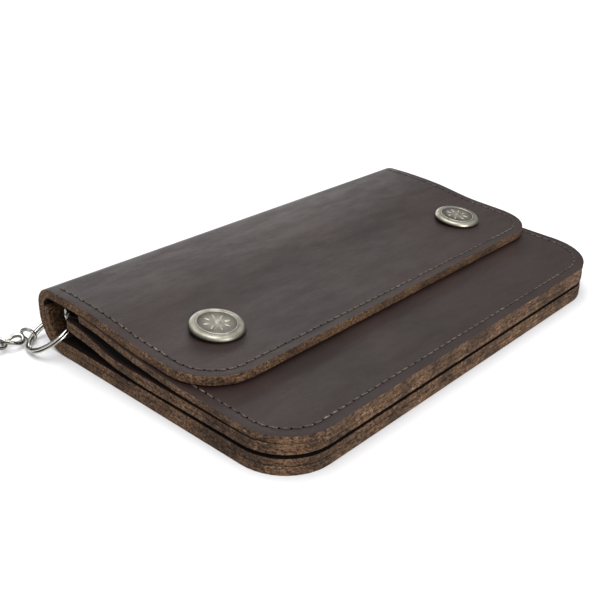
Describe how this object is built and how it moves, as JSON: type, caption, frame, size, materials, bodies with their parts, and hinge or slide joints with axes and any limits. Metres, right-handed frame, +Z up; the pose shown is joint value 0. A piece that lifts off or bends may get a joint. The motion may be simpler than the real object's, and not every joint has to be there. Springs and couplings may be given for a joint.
{
  "type": "chain wallet",
  "caption": "Long leather snap wallet with a wrapped flap, stitched leaves, zip pocket, split ring and chain.",
  "frame": {"origin": "on the surface the wallet lies on, under the middle of the closed wallet (ring and chain apart)", "axes": "+X along the length, away from the ring's end; +Y from the open front edge to the spine; +Z up"},
  "size_m": [0.2876, 0.1476, 0.0215],
  "materials": {
    "outer_leather": "smooth dark brown leather, satin, raw fibrous edges",
    "panel_leather": "smooth dark brown leather, satin, raw fibrous edges",
    "lining_leather": "suede side of dark brown leather, matt",
    "pocket_cloth": "black woven pocket cloth and zip tape",
    "zip_metal": "antique brass zip",
    "antique_nickel": "antiqued nickel snap, dark in the hollows",
    "bright_nickel": "bright nickel plate"
  },
  "bodies": {
    "back": {"back_panel": "outer_leather", "back_lining": "lining_leather", "middle_lining": "lining_leather", "middle_panel": "panel_leather", "front_lining": "lining_leather", "front_panel": "panel_leather", "gusset_left": "pocket_cloth", "gusset_right": "pocket_cloth", "card_pocket_rear": "panel_leather", "card_pocket_front": "panel_leather", "zip_tape_upper": "pocket_cloth", "zip_tape_lower": "pocket_cloth", "zip_teeth_upper": "zip_metal", "zip_teeth_lower": "zip_metal", "zip_stops": "zip_metal", "snap_studs": "antique_nickel", "snap_stud_rivets": "antique_nickel", "chain_run": "bright_nickel", "chain_coil": "bright_nickel", "chain_tail": "bright_nickel", "clasp_eye": "bright_nickel"},
    "spine": {"spine": "outer_leather", "spine_lining": "lining_leather", "eyelet": "bright_nickel", "eyelet_washer": "bright_nickel"},
    "flap": {"flap": "outer_leather", "snap_caps": "antique_nickel", "snap_sockets": "antique_nickel"},
    "ring": {"split_ring": "bright_nickel"},
    "slider": {"zip_slider": "zip_metal"},
    "pull": {"zip_pull": "zip_metal"},
    "clasp": {"clasp_body": "bright_nickel", "clasp_pin": "bright_nickel"},
    "gate": {"clasp_gate": "bright_nickel"}
  },
  "joints": [
    {"name": "spine_fold", "type": "hinge", "parent": "back", "child": "spine", "pos_m": [0, 0.05134, 0.00366], "axis": [-1, 0, 0], "range_deg": [0, 45]},
    {"name": "flap_fold", "type": "hinge", "parent": "spine", "child": "flap", "pos_m": [0, 0.0531, 0.0196], "axis": [-1, 0, 0], "range_deg": [0, 112.5]},
    {"name": "ring_swing", "type": "hinge", "parent": "spine", "child": "ring", "pos_m": [-0.0805, 0.05211, 0.00938], "axis": [0, 0.9511, -0.309], "range_deg": [0, 40]},
    {"name": "zip_slide", "type": "slide", "parent": "back", "child": "slider", "axis": [-1, 0, 0], "range_m": [0, 0.125]},
    {"name": "pull_swing", "type": "hinge", "parent": "slider", "child": "pull", "pos_m": [0.0645, 0.0458, 0.0144], "axis": [0, 0, -1], "range_deg": [0, 11]},
    {"name": "clasp_swivel", "type": "hinge", "parent": "back", "child": "clasp", "pos_m": [-0.1634, 0.045, 0.0028], "axis": [0, -1, 0], "continuous": true},
    {"name": "gate_open", "type": "hinge", "parent": "clasp", "child": "gate", "pos_m": [-0.1604, 0.04076, 0.0028], "axis": [0, 0, -1], "range_deg": [0, 20], "stiffness_Nm_per_rad": 0.02, "springref_deg": -17.19}
  ],
  "couplings": [
    {"joint": "flap_fold", "follows": "spine_fold", "ratio": 2.5}
  ]
}
